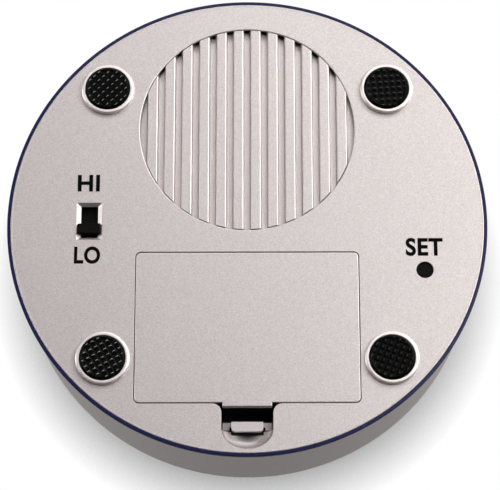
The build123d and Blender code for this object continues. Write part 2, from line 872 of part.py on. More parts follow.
def cover_tabs():
    # hooks that reach behind the plate at the hinged edge
    tabs = Part()
    y1 = cover_top_y - seat
    y0 = y1 - cover_tab_foot
    top = cover_tab_z + cover_tab_t
    for side in (-1, 1):
        x0 = side * cover_tab_spacing / 2 - cover_tab_w / 2
        x1 = x0 + cover_tab_w
        tabs += block(x0, x1, y0, y1, cover_in - root, top)
        tabs += block(x0, x1, y0, cover_top_y + cover_tab_reach, cover_tab_z, top)
    return tabs


def latch_bend():
    # the bend of the latch's spring, a half ring along X
    outer_r = latch_loop_r + latch_t
    top = latch_bend_z + outer_r
    ring = rod(outer_r, latch_w, latch_bend_y, latch_bend_z)
    ring -= rod(latch_loop_r, notch_w, latch_bend_y, latch_bend_z)
    return ring & block(-latch_w, latch_w, scoop_y, notch_y + latch_t, latch_bend_z, top)


def battery_cover():
    half = latch_w / 2
    leg = block(-half, half, latch_in_y - latch_t, latch_in_y, cover_in - root, latch_bend_z)
    cover = cover_panel() + cover_ribs() + cover_tabs() + leg + latch_bend()
    return cover - rod(latch_t / 2 + fit, notch_w, latch_out_y - latch_t / 2, latch_bend_z)


def cover_latch():
    # outer leg of the latch's spring, with the nose that catches and the tab that a finger pulls
    half = latch_w / 2
    tab_z = plate_z + tab_inset
    nose_z = tab_z + tab_t
    leg = block(-half, half, latch_out_y - latch_t, latch_out_y, nose_z, latch_bend_z)
    leg += rod(latch_t / 2, latch_w, latch_out_y - latch_t / 2, latch_bend_z)
    nose = block(-half, half, scoop_y + seam, latch_out_y, nose_z, nose_z + nose_t)
    nose = chamfer(nose.edges().filter_by(Axis.X).group_by(Axis.Y)[0].sort_by(Axis.Z)[-1], nose_hook)
    tab = block(-tab_w / 2, tab_w / 2, scoop_y - tab_lap, latch_out_y, tab_z, nose_z + root)
    tab = fillet(tab.edges().filter_by(Axis.Z).group_by(Axis.Y)[0], tab_corner_r)
    for side in (-1, 1):
        relief_x = side * (tab_w + tab_relief_w) / 2
        nose -= slab(relief_x, scoop_y + seam, tab_relief_w, 2 * tab_relief_l, tab_z, latch_bend_z)
    return leg + nose + tab


# Boards and their screws

def board(w, l, x, y, z, places):
    shape = plate_of(Pos(x, y) * RectangleRounded(w, l, board_corner_r), z, z + board_t)
    for hole_x, hole_y in places:
        shape -= cyl(small_shank_r + seam, z - overrun, z + board_t + overrun, hole_x, hole_y)
    return shape


def small_screw(x, y, z):
    # z is the height of the board's face under the head
    head = cyl(small_head_r, z, z + small_head_t, x, y)
    head = fillet(head.edges().sort_by(Axis.Z)[-1], small_head_edge_r)
    return head + cyl(small_shank_r, z - small_shank_l, z + root, x, y)


def board_screws(places, board_z):
    return Part() + [small_screw(x, y, board_z + board_t) for x, y in places]


# Volume switch

def volume_knob():
    # knob, stem, the slider that closes the window from behind, and the lever into the switch
    knob_z = plate_z - knob_proud
    top = slider_z + slider_t
    knob = slab(volume_x, knob_y, knob_w, knob_l, knob_z, knob_z + knob_t)
    knob = fillet(knob.edges().filter_by(Axis.Z), knob_corner_r)
    knob = chamfer(knob.edges().group_by(Axis.Z)[0], knob_edge)
    knob += slab(volume_x, knob_y, knob_stem_w, knob_l, knob_z + knob_edge, slider_z + root)
    knob += slab(volume_x, knob_y, slider_w, slider_l, slider_z, top)
    return knob + slab(volume_x, knob_y, lever_w, lever_l, top - root, top + lever_h)


def volume_switch():
    can = slab(volume_x, volume_y, switch_w, switch_l, switch_z, volume_board_z)
    can = chamfer(can.edges().filter_by(Axis.Z), switch_edge)
    slot_w_all = lever_w + 2 * slip
    slot_l_all = lever_l + knob_travel + 2 * slip
    return can - slab(volume_x, volume_y, slot_w_all, slot_l_all, switch_z - overrun, switch_z + lever_h)


def volume_board():
    return board(volume_board_w, volume_board_l, volume_x, volume_y, volume_board_z, volume_places())


# Set button

def set_button():
    stem = cyl(set_button_r, plate_z + set_recess, set_stem_top, set_x, set_y)
    stem = fillet(stem.edges().sort_by(Axis.Z)[0], set_button_edge_r)
    return stem + cyl(set_flange_r, set_flange_z, set_flange_z + set_flange_t, set_x, set_y)


def set_plunger():
    return cyl(tact_plunger_r, set_plunger_z, set_switch_z + tact_plunger_in, set_x, set_y)


def set_switch():
    body = slab(set_x, set_y, tact_w, tact_w, set_switch_z, set_board_z)
    body = chamfer(body.edges().filter_by(Axis.Z), tact_edge)
    bore_top = set_switch_z + tact_plunger_in + set_travel + slip
    return body - cyl(tact_plunger_r + seam, set_switch_z - overrun, bore_top, set_x, set_y)


def set_board():
    return board(set_board_w, set_board_l, set_x, set_y, set_board_z, set_places())


# Main board

def main_board():
    mid_y = (main_y0 + main_y1) / 2
    return board(2 * main_half_w, main_y1 - main_y0, 0, mid_y, main_z, main_places())


def contact_dome():
    # silicone dome that the talk button's plunger presses
    flange = tube(dome_flange_r, dome_r - dome_wall, main_top, main_top + dome_flange_t)
    hollow = cone(dome_r - dome_wall, dome_tip_r - dome_wall, dome_h - dome_wall)
    return flange + Pos(0, 0, main_top) * (cone(dome_r, dome_tip_r, dome_h) - hollow)


def chip_blob():
    return Pos(blob_x, main_y0 + blob_end, 0) * dome(blob_r, main_top, blob_h)


def crystal():
    can = Pos(0, main_y0 + crystal_end) * SlotOverall(crystal_l, crystal_w)
    body = plate_of(can, main_top, main_top + crystal_h)
    return fillet(body.edges().group_by(Axis.Z)[-1], crystal_edge_r)


def capacitors():
    cans = Part()
    for n in range(cap_count):
        can = cyl(cap_r, main_top, main_top + cap_h, cap_x + n * cap_pitch, main_y0 + cap_end)
        cans += chamfer(can.edges().sort_by(Axis.Z)[-1], cap_edge)
    return cans


def chip_resistors():
    chips = Part()
    for row in range(chip_rows):
        y = main_y0 + chip_end - row * chip_pitch
        for column in range(chip_columns):
            x = chip_x + column * chip_pitch
            chips += slab(x, y, chip_l, chip_w, main_top, main_top + chip_h)
    return chips


def save_base():
    save(base_housing(), "base_housing")
    save(trim_ring(), "trim_ring")
    save(grille(), "speaker_grille")
    for n, (x, y) in enumerate(foot_places):
        save(foot_pad(x, y), "foot_pad_" + str(n + 1))
    save(case_screws(), "case_screws")


def save_top():
    save(upper_shell(), "upper_shell")
    save(talk_button(), "talk_button")
    save(button_springs(), "button_springs")


def save_speaker():
    save(speaker_gasket(), "speaker_gasket")
    save(speaker_frame(), "speaker_frame")
    save(speaker_cone(), "speaker_cone")
    save(speaker_dust_cap(), "speaker_dust_cap")
    save(speaker_magnet(), "speaker_magnet")
    save(speaker_yoke(), "speaker_yoke")
    save(speaker_clamps(), "speaker_clamp_screws")


def save_compartment():
    for n in range(cell_count):
        save(cell(n), "battery_cell_" + str(n + 1))
    save(contact(-1, None, cell_y(0)), "contact_negative")
    save(contact(1, cell_y(0), cell_y(1)), "contact_link_first")
    save(contact(-1, cell_y(1), cell_y(2)), "contact_link_second")
    save(contact(1, cell_y(2), None), "contact_positive")
    save(battery_cover(), "battery_cover")
    save(cover_latch(), "cover_latch")


def save_switches():
    save(volume_knob(), "volume_knob")
    save(volume_switch(), "volume_switch")
    save(volume_board(), "volume_board")
    save(board_screws(volume_places(), volume_board_z), "volume_board_screws")
    save(set_button(), "set_button")
    save(set_plunger(), "set_plunger")
    save(set_switch(), "set_switch")
    save(set_board(), "set_board")
    save(board_screws(set_places(), set_board_z), "set_board_screws")


def save_electronics():
    save(main_board(), "main_board")
    save(board_screws(main_places(), main_z), "main_board_screws")
    save(contact_dome(), "contact_dome")
    save(chip_blob(), "chip_blob")
    save(crystal(), "crystal")
    save(capacitors(), "capacitors")
    save(chip_resistors(), "chip_resistors")


os.makedirs("parts", exist_ok=True)
save_base()
save_top()
save_speaker()
save_compartment()
save_switches()
save_electronics()
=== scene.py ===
import bpy
import bmesh
from math import cos, hypot, pi, radians, sin
from mathutils import Matrix, Vector


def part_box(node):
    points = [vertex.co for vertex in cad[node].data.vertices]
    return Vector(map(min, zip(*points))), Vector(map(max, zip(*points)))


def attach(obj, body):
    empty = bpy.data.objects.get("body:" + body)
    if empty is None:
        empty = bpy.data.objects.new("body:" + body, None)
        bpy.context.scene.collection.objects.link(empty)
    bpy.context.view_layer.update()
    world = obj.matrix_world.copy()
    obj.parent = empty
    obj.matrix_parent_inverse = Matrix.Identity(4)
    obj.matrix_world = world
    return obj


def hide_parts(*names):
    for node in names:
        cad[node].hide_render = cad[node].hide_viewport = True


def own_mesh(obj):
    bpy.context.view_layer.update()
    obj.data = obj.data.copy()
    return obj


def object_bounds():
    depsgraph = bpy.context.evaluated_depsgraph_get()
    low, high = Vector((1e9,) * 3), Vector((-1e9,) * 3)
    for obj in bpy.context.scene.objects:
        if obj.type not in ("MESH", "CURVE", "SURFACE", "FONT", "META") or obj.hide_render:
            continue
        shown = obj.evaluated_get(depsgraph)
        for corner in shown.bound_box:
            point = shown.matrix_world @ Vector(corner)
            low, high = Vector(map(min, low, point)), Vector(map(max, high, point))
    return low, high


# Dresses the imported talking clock. Metres, in the part's own frame: the clock stands on its feet at z = 0.
# The photograph looks at its underside, so picture right is -X, picture up is +Y, and the camera is below.

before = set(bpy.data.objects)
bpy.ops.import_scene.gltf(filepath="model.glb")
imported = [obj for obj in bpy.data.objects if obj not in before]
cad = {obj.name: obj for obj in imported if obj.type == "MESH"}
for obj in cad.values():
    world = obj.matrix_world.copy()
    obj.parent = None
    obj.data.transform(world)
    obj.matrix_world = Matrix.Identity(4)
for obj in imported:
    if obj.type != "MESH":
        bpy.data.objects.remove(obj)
cadBounds = [list(corner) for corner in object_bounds()]
mm = 0.001
print("frame loaded:", len(cad), "nodes")


# Camera and stage

photoCamera = {
    "place": (-0.00223, -0.16678, -0.48281),
    "forward": (0.0031, 0.3155, 0.9489),
    "up": (-0.0021, 0.9489, -0.3155),
    "lens": 159.6,          # mm, as is the sensor's width
    "sensor": 36,
    "nearest": 0.01,        # nothing closer to the camera is drawn
}


def makeCamera():
    data = bpy.data.cameras.new("photoCamera")
    data.lens = photoCamera["lens"]
    data.sensor_width = photoCamera["sensor"]
    data.clip_start = photoCamera["nearest"]
    camera = bpy.data.objects.new("photoCamera", data)
    bpy.context.scene.collection.objects.link(camera)
    back = -Vector(photoCamera["forward"]).normalized()
    right = Vector(photoCamera["up"]).cross(back).normalized()
    turn = Matrix((right, back.cross(right), back)).transposed().to_4x4()
    camera.matrix_world = Matrix.Translation(photoCamera["place"]) @ turn
    bpy.context.scene.camera = camera


floorLook = {
    "size": 6.0,
    "shadowReach": 14 * mm,
    "shadowGamma": 1.35,
    "shadowSamples": 8,
    "brightness": 1.0,
}


def oneSidedWhite():
    # a white sheet that is only there from its front, so that the clock can lie on one and stand on the
    # other; it darkens softly where the clock comes near
    material = bpy.data.materials.new("oneSidedWhite")
    material.use_nodes = True
    tree = material.node_tree
    tree.nodes.clear()
    near = tree.nodes.new("ShaderNodeAmbientOcclusion")
    near.samples = floorLook["shadowSamples"]
    near.inputs["Distance"].default_value = floorLook["shadowReach"]
    shadow = tree.nodes.new("ShaderNodeMath")
    shadow.operation = "POWER"
    shadow.inputs[1].default_value = floorLook["shadowGamma"]
    glow = tree.nodes.new("ShaderNodeEmission")
    glow.inputs["Strength"].default_value = floorLook["brightness"]
    side = tree.nodes.new("ShaderNodeNewGeometry")
    clear = tree.nodes.new("ShaderNodeBsdfTransparent")
    mix = tree.nodes.new("ShaderNodeMixShader")
    out = tree.nodes.new("ShaderNodeOutputMaterial")
    tree.links.new(near.outputs["AO"], shadow.inputs[0])
    tree.links.new(shadow.outputs["Value"], glow.inputs["Color"])
    tree.links.new(side.outputs["Backfacing"], mix.inputs["Fac"])
    tree.links.new(glow.outputs["Emission"], mix.inputs[1])
    tree.links.new(clear.outputs["BSDF"], mix.inputs[2])
    tree.links.new(mix.outputs["Shader"], out.inputs["Surface"])
    return material


def makeSheet(name, height, facing, material):
    half = floorLook["size"] / 2
    corners = [(-half, -half), (half, -half), (half, half), (-half, half)]
    mesh = bpy.data.meshes.new(name)
    order = (0, 1, 2, 3) if facing > 0 else (3, 2, 1, 0)
    mesh.from_pydata([(x, y, height) for x, y in corners], [], [order])
    mesh.materials.append(material)
    sheet = bpy.data.objects.new(name, mesh)
    bpy.context.scene.collection.objects.link(sheet)
    sheet.visible_diffuse = False
    sheet.visible_glossy = False
    sheet.visible_transmission = False
    sheet.visible_shadow = False


def makeStage():
    white = oneSidedWhite()
    makeSheet("tableUnderFeet", cadBounds[0][2], 1, white)
    makeSheet("tableUnderButton", cadBounds[1][2], -1, white)


# each place is (picture right, picture up, towards the camera) from the clock's middle, in metres
lamps = {
    "keyRight": {"place": (0.52, 0.10, 0.75), "size": (0.35, 0.7), "power": 3.2},
    "keyTopRight": {"place": (0.55, 0.50, 0.50), "size": (0.4, 0.4), "power": 4.1},
    "edgeRight": {"place": (0.80, 0.10, 0.45), "size": (0.35, 0.7), "power": 1.6},
    "edgeLeft": {"place": (-0.80, 0.10, 0.45), "size": (0.35, 0.7), "power": 3.4},
    "softTop": {"place": (0.05, 0.70, 0.65), "size": (0.6, 0.3), "power": 2.5},
    "softFront": {"place": (0.02, 0.33, 0.90), "size": (0.4, 0.4), "power": 0.48},
    "behindLeft": {"place": (-0.70, 0.60, -0.45), "size": (0.5, 0.5), "power": 4.0},
    "behindRight": {"place": (0.70, 0.55, -0.60), "size": (0.6, 0.6), "power": 2.5},
}


def makeLamps():
    middle = Vector((0, 0, cadBounds[1][2] / 2))
    for name, lamp in lamps.items():
        data = bpy.data.lights.new(name, "AREA")
        data.shape = "RECTANGLE"
        data.size, data.size_y = lamp["size"]
        data.energy = lamp["power"]
        light = bpy.data.objects.new(name, data)
        bpy.context.scene.collection.objects.link(light)
        right, up, near = lamp["place"]
        light.location = middle + Vector((-right, up, -near))
        aim = (middle - light.location).normalized()
        light.rotation_euler = aim.to_track_quat("-Z", "Y").to_euler()


def ramp(tree, value, start, end, low, high):
    # low up to start, high from end, and a smooth step between
    step = tree.nodes.new("ShaderNodeMapRange")
    step.interpolation_type = "SMOOTHSTEP"
    step.inputs["From Min"].default_value = start
    step.inputs["From Max"].default_value = end
    step.inputs["To Min"].default_value = low
    step.inputs["To Max"].default_value = high
    tree.links.new(value, step.inputs["Value"])
    return step.outputs["Result"]


def combine(tree, operation, first, second):
    # one calculation on two values, each a number or a socket
    node = tree.nodes.new("ShaderNodeMath")
    node.operation = operation
    for socket, value in zip(node.inputs, (first, second)):
        if isinstance(value, (int, float)):
            socket.default_value = value
        else:
            tree.links.new(value, socket)
    return node.outputs["Value"]


# how bright each part of the room is
room = {
    "front": 0.0,
    "table": 0.33,              # what lies behind the clock in the photograph
    "horizon": 0.12,            # half the width of the change from front to table
    "left": 0.4,
    "right": 0.5,
    "strip": (0.78, 0.94),      # how far to its side each bright strip starts, and is full
    "background": 1.0,          # what the camera sees past the clock
}


def makeRoom():
    # the photograph's ground is pure white, while the clock is lit by a dimmer room with a bright strip
    # at its left and its right
    world = bpy.data.worlds.new("room")
    bpy.context.scene.world = world
    world.use_nodes = True
    tree = world.node_tree
    tree.nodes.clear()
    seen = tree.nodes.new("ShaderNodeLightPath")
    where = tree.nodes.new("ShaderNodeTexCoord")
    axes = tree.nodes.new("ShaderNodeSeparateXYZ")
    lit = tree.nodes.new("ShaderNodeBackground")
    bright = tree.nodes.new("ShaderNodeBackground")
    mix = tree.nodes.new("ShaderNodeMixShader")
    out = tree.nodes.new("ShaderNodeOutputWorld")
    bright.inputs["Color"].default_value = (1, 1, 1, 1)
    bright.inputs["Strength"].default_value = room["background"]
    tree.links.new(where.outputs["Generated"], axes.inputs["Vector"])
    start, full = room["strip"]
    level = ramp(tree, axes.outputs["Z"], -room["horizon"], room["horizon"], room["front"], room["table"])
    left = ramp(tree, axes.outputs["X"], start, full, 0, room["left"])
    right = ramp(tree, axes.outputs["X"], -start, -full, 0, room["right"])
    level = combine(tree, "ADD", combine(tree, "ADD", level, left), right)
    tree.links.new(level, lit.inputs["Strength"])
    tree.links.new(seen.outputs["Is Camera Ray"], mix.inputs["Fac"])
    tree.links.new(lit.outputs["Background"], mix.inputs[1])
    tree.links.new(bright.outputs["Background"], mix.inputs[2])
    tree.links.new(mix.outputs["Shader"], out.inputs["Surface"])


makeCamera()
makeStage()
makeLamps()
makeRoom()
bpy.context.scene.view_settings.view_transform = "Standard"
print("stage, lamps and camera are set")


# Finishes

def newFinish(name, color, metallic=0.0, roughness=0.5, specular=0.5):
    material = bpy.data.materials.new(name)
    material.use_nodes = True
    shader = material.node_tree.nodes["Principled BSDF"]
    shader.inputs["Base Color"].default_value = (*color, 1)
    shader.inputs["Metallic"].default_value = metallic
    shader.inputs["Roughness"].default_value = roughness
    shader.inputs["Specular IOR Level"].default_value = specular
    return material


noiseLook = {"detail": 2, "span": (0.3, 0.7)}       # most of the noise lies in the span


def grain(material, size, low, high):
    # a fine speckle from low to high, whose grains are about size metres across
    tree = material.node_tree
    where = tree.nodes.new("ShaderNodeTexCoord")
    noise = tree.nodes.new("ShaderNodeTexNoise")
    spread = tree.nodes.new("ShaderNodeMapRange")
    noise.inputs["Scale"].default_value = 1 / size
    noise.inputs["Detail"].default_value = noiseLook["detail"]
    spread.inputs["From Min"].default_value = noiseLook["span"][0]
    spread.inputs["From Max"].default_value = noiseLook["span"][1]
    spread.inputs["To Min"].default_value = low
    spread.inputs["To Max"].default_value = high
    tree.links.new(where.outputs["Object"], noise.inputs["Vector"])
    tree.links.new(noise.outputs["Fac"], spread.inputs["Value"])
    return spread.outputs["Result"]


def scaled(tree, color, amount):
    # the colour times amount, a value that varies over the surface
    scale = tree.nodes.new("ShaderNodeVectorMath")
    scale.operation = "SCALE"
    scale.inputs[0].default_value = color
    tree.links.new(amount, scale.inputs["Scale"])
    return scale.outputs["Vector"]


def tint(material, color, amount):
    tree = material.node_tree
    tree.links.new(scaled(tree, color, amount), tree.nodes["Principled BSDF"].inputs["Base Color"])


def rough(material, amount):
    tree = material.node_tree
    tree.links.new(amount, tree.nodes["Principled BSDF"].inputs["Roughness"])


def bump(material, height, depth, edge=0.0):
    # depth is the height's full range in metres; edge softens hard corners to that radius
    tree = material.node_tree
    node = tree.nodes.new("ShaderNodeBump")
    node.inputs["Distance"].default_value = depth
    tree.links.new(height, node.inputs["Height"])
    if edge:
        bevel = tree.nodes.new("ShaderNodeBevel")
        bevel.inputs["Radius"].default_value = edge
        tree.links.new(bevel.outputs["Normal"], node.inputs["Normal"])
    tree.links.new(node.outputs["Normal"], tree.nodes["Principled BSDF"].inputs["Normal"])


silver = {
    "color": (0.64, 0.585, 0.572),
    "metallic": 0.75,
    "roughness": (0.36, 0.46),
    "flake": 0.17 * mm,
    "sparkle": (0.80, 1.20),
    "peel": 0.7 * mm,
    "peelDepth": 0.004 * mm,
    "edge": 0.10 * mm,
    "deepShade": (0.011, 0.011, 0.014),     # near black, the painted shade in gaps and recesses
    "ringBelow": 1.35 * mm,            # the foot rings' faces lie below this height and get a painted highlight
    "ringHighlight": 1.38,
    "floorAbove": 3.45 * mm,           # the grooves' floors, which the bars beside them light
    "floorGain": 1.22,
    "blend": 0.1 * mm,                 # from plain paint to either gain
}

# where each finish's painted shade begins, as a depth in mm above the table that the feet stand on, and how
# softly it begins; deeper surfaces are drawn near black
shadeDepths = {
    "plate": {"name": "paintedPlate", "depth": 1.85, "soft": 0.05},
    "bars": {"name": "paintedBars", "depth": 3.8, "soft": 0.05},
    "cover": {"name": "paintedCover", "depth": 2.05, "soft": 0.05},
    # the latch's wide, soft change paints shade on its lower shoulders and on its tab's side walls
    "latch": {"name": "paintedLatch", "depth": 2.9, "soft": 0.6},
    "shell": {"name": "paintedShell", "depth": 60, "soft": 0.05},       # painted all over: deeper than the shell, so it has no painted shade
}
# rectangles of the plate, in mm along each axis, where its painted shade begins at another depth
plateSpots = {
    "switchWindow": {"x": (33.2, 39.8), "y": (-5, 5.2), "depth": 2.34, "soft": 0.05},
    "grilleSeam": {"x": (-26, 26), "y": (-3, 49.5), "depth": 2.08, "soft": 0.04},
    # in the finger scoop the painted shade is the latch tab's shadow, darkest right under the tab
    "fingerScoop": {"x": (-5.85, 5.85), "y": (-54.5, -49.35), "depth": 3.72, "soft": 0.30},
    "scoopByLatch": {"x": (-3.7, 3.7), "y": (-50.2, -49.35), "depth": 3.1, "soft": 0.25},
}


def fade(tree, height, depth, soft):
    # 0 where the silver shows and 1, painted shade, deeper than depth, with a change over soft to each side
    return ramp(tree, height, (depth - soft) * mm, (depth + soft) * mm, 0, 1)


def insideSpot(tree, axes, spot):
    # 1 inside the spot's rectangle and 0 outside
    tests = []
    for axis in ("x", "y"):
        start, end = spot[axis]
        tests.append(combine(tree, "GREATER_THAN", axes.outputs[axis.upper()], start * mm))
        tests.append(combine(tree, "LESS_THAN", axes.outputs[axis.upper()], end * mm))
    inside = tests[0]
    for test in tests[1:]:
        inside = combine(tree, "MULTIPLY", inside, test)
    return inside


def silverPaint(name, depth, soft, spots=()):
    material = newFinish(name, silver["color"])
    tree = material.node_tree
    shader = tree.nodes["Principled BSDF"]
    shine = grain(material, silver["flake"], *silver["sparkle"])
    rough(material, grain(material, silver["flake"] * 2, *silver["roughness"]))
    bump(material, grain(material, silver["peel"], 0, 1), silver["peelDepth"], silver["edge"])
    where = tree.nodes.new("ShaderNodeTexCoord")
    axes = tree.nodes.new("ShaderNodeSeparateXYZ")
    tree.links.new(where.outputs["Object"], axes.inputs["Vector"])
    height = axes.outputs["Z"]
    # deeper than depth the colour goes near black, painted shade in gaps and recesses; inside each spot it
    # begins at the spot's own depth
    deepShade = fade(tree, height, depth, soft)
    for spot in spots:
        change = combine(tree, "SUBTRACT", fade(tree, height, spot["depth"], spot["soft"]), deepShade)
        deepShade = combine(tree, "ADD", deepShade, combine(tree, "MULTIPLY", insideSpot(tree, axes, spot), change))
    # a painted highlight on the foot rings' faces, and painted light on the grooves' floors
    ringBelow, floorAbove, blend = silver["ringBelow"], silver["floorAbove"], silver["blend"]
    ring = ramp(tree, height, ringBelow + blend, ringBelow, 0, 1)
    plain = combine(tree, "MULTIPLY", shine, combine(tree, "SUBTRACT", 1.0, ring))
    shine = combine(tree, "ADD", plain, combine(tree, "MULTIPLY", ring, silver["ringHighlight"]))
    floor = ramp(tree, height, floorAbove - blend, floorAbove, 1, silver["floorGain"])
    color = scaled(tree, silver["color"], combine(tree, "MULTIPLY", shine, floor))
    # 1 where the silver shows and 0 in the painted shade
    painted = combine(tree, "SUBTRACT", 1.0, deepShade)
    mix = tree.nodes.new("ShaderNodeMix")
    mix.data_type = "RGBA"
    mix.inputs["A"].default_value = (*silver["deepShade"], 1)
    tree.links.new(painted, mix.inputs["Factor"])
    tree.links.new(color, mix.inputs["B"])
    tree.links.new(mix.outputs["Result"], shader.inputs["Base Color"])
    tree.links.new(combine(tree, "MULTIPLY", painted, silver["metallic"]), shader.inputs["Metallic"])
    return material


blue = {
    "color": (0.010, 0.011, 0.055),
    "roughness": (0.20, 0.28),
    "specular": 0.3,
    "shade": (0.94, 1.06),
    "edge": 0.08 * mm,
    "wave": 1.2 * mm,
    "waveDepth": 0.0008 * mm,
}


def bluePlastic():
    material = newFinish("bluePlastic", blue["color"], specular=blue["specular"])
    tint(material, blue["color"], grain(material, blue["wave"], *blue["shade"]))
    rough(material, grain(material, blue["wave"], *blue["roughness"]))
    bump(material, grain(material, blue["wave"], 0, 1), blue["waveDepth"], blue["edge"])
    return material


# spark is the grains' size, depth their height; what a finish doesn't say is satinPlastic's own value
satins = {
    "black": {"name": "blackPlastic", "color": (0.004, 0.0038, 0.0036), "specular": 0.06},
    "print": {"name": "blackPrint", "color": (0.003, 0.003, 0.003), "roughness": (0.6, 0.75),
              "spark": 0.3 * mm, "depth": 0.002 * mm, "edge": 0.0, "specular": 0.02},
    "magnet": {"name": "ferrite", "color": (0.03, 0.03, 0.032), "roughness": (0.55, 0.7),
               "spark": 0.4 * mm, "depth": 0.02 * mm},
    "cone": {"name": "conePaper", "color": (0.028, 0.027, 0.026), "roughness": (0.75, 0.9),
             "spark": 0.3 * mm, "depth": 0.03 * mm},
    "board": {"name": "solderMask", "color": (0.02, 0.11, 0.04), "roughness": (0.25, 0.35),
              "spark": 1.0 * mm, "depth": 0.004 * mm},
    "can": {"name": "canSleeve", "color": (0.02, 0.02, 0.06), "roughness": (0.25, 0.35),
            "spark": 0.8 * mm, "depth": 0.003 * mm},
    "cell": {"name": "cellSleeve", "color": (0.012, 0.035, 0.022), "roughness": (0.22, 0.3),
             "spark": 0.9 * mm, "depth": 0.003 * mm},
    "band": {"name": "cellBand", "color": (0.42, 0.25, 0.08), "roughness": (0.25, 0.34),
             "spark": 0.9 * mm, "depth": 0.003 * mm},
    "sign": {"name": "cellSign", "color": (0.7, 0.7, 0.68), "roughness": (0.3, 0.4),
             "spark": 0.5 * mm, "depth": 0.001 * mm, "edge": 0.0},
    "silicone": {"name": "siliconeRubber", "color": (0.5, 0.5, 0.47), "roughness": (0.5, 0.62),
                 "spark": 0.6 * mm, "depth": 0.003 * mm, "edge": 0.0, "specular": 0.4},
}
rubberGrain = {"roughness": (0.34, 0.42), "spark": 0.3 * mm, "depth": 0.002 * mm, "edge": 0.0}
rubbers = {
    "rubber": {"name": "rubberCompound", "color": (0.003, 0.0028, 0.0027), "specular": 0.05},
    # painted glints on the knurl's tips, bright on some feet and dim on others
    "brightGlint": {"name": "paintedGlint", "color": (0.2, 0.197, 0.193), "specular": 0.5},
    "dimGlint": {"name": "dimGlint", "color": (0.028, 0.025, 0.023), "specular": 0.25},
}
satinShade = (0.9, 1.1)


def satinPlastic(name, color, roughness=(0.38, 0.5), spark=0.5 * mm, depth=0.006 * mm, edge=0.08 * mm,
                 specular=0.5):
    material = newFinish(name, color, specular=specular)
    tint(material, color, grain(material, spark, *satinShade))
    rough(material, grain(material, spark, *roughness))
    bump(material, grain(material, spark / 2, 0, 1), depth, edge)
    return material


metals = {
    "spring": {"name": "springSteel", "color": (0.62, 0.61, 0.59), "roughness": (0.22, 0.36)},
    "pressed": {"name": "platedSteel", "color": (0.55, 0.54, 0.5), "roughness": (0.3, 0.45)},
    "contact": {"name": "nickelPlate", "color": (0.7, 0.67, 0.6), "roughness": (0.18, 0.3)},
}
metalGrain = {"spark": 0.4 * mm, "shade": (0.9, 1.08), "depth": 0.003 * mm, "edge": 0.05 * mm}


def drawnMetal(name, color, roughness):
    material = newFinish(name, color, metallic=1.0)
    spark = metalGrain["spark"]
    tint(material, color, grain(material, spark, *metalGrain["shade"]))
    rough(material, grain(material, spark, *roughness))
    bump(material, grain(material, spark, 0, 1), metalGrain["depth"], metalGrain["edge"])
    return material


def makeFinishes():
    made = {"blue": bluePlastic()}
    for finish, end in shadeDepths.items():
        made[finish] = silverPaint(**end, spots=plateSpots.values() if finish == "plate" else ())
    for finish, look in satins.items():
        made[finish] = satinPlastic(**look)
    for finish, look in rubbers.items():
        made[finish] = satinPlastic(**look, **rubberGrain)
    for finish, look in metals.items():
        made[finish] = drawnMetal(**look)
    return made


nodeFinish = {
    "plate": ("base_housing",),
    "bars": ("speaker_grille",),
    "cover": ("battery_cover",),
    "latch": ("cover_latch",),
    "shell": ("upper_shell",),
    "blue": ("trim_ring", "talk_button"),
    "black": ("volume_knob", "set_button", "set_plunger", "set_switch", "chip_blob", "chip_resistors"),
    "rubber": ("foot_pad_1", "foot_pad_2", "foot_pad_3", "foot_pad_4", "speaker_gasket", "contact_dome"),
    "spring": ("button_springs", "case_screws", "speaker_clamp_screws", "volume_board_screws",
               "set_board_screws", "main_board_screws"),
    "pressed": ("speaker_frame", "speaker_yoke", "volume_switch", "crystal"),
    "contact": ("contact_negative", "contact_link_first", "contact_link_second", "contact_positive"),
    "magnet": ("speaker_magnet",),
    "cone": ("speaker_cone", "speaker_dust_cap"),
    "board": ("volume_board", "set_board", "main_board"),
    "can": ("capacitors",),
    "cell": ("battery_cell_1", "battery_cell_2", "battery_cell_3"),
}


def paintNodes():
    for finish, names in nodeFinish.items():
        for name in names:
            mesh = cad[name].data
            mesh.materials.clear()
            mesh.materials.append(finishes[finish])


finishes = makeFinishes()
paintNodes()
print("every CAD node has its finish")


# Pieces

def addPiece(name, mesh, body, slot, *materials):
    for material in materials:
        mesh.materials.append(material)
    piece = bpy.data.objects.new(name, mesh)
    bpy.context.scene.collection.objects.link(piece)
    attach(piece, body)
    return piece


def meshFrom(name, shape):
    # the edited shape as a mesh; the shape is given up
    mesh = bpy.data.meshes.new(name)
    shape.to_mesh(mesh)
    shape.free()
    return mesh


def meshFromCurve(name, curve):
    # a curve's or a text's surface as a mesh without materials
    made = bpy.data.objects.new(name, curve)
    bpy.context.scene.collection.objects.link(made)
    bpy.context.view_layer.update()
    mesh = bpy.data.meshes.new_from_object(made.evaluated_get(bpy.context.evaluated_depsgraph_get()))
    bpy.data.objects.remove(made)
    mesh.materials.clear()
    return mesh


knurl = {
    "pitch": 2.12 * mm,         # along a row
    "row": 1.0 * mm,            # from row to row, each half a pitch on
    "height": 0.42 * mm,
    "edge": 0.45 * mm,
    "rings": 72,
    "segments": 280,
    "streak": (0.11, 0.46),     # half width and half length of the painted glint at each tip, in pitches
    # how far each foot is turned, in degrees, and how bright its painted glints are
    "feet": {
        "foot_pad_4": (0, "brightGlint"),
        "foot_pad_2": (40, "dimGlint"),
        "foot_pad_3": (14, "brightGlint"),
        "foot_pad_1": (-22, "dimGlint"),
    },
}


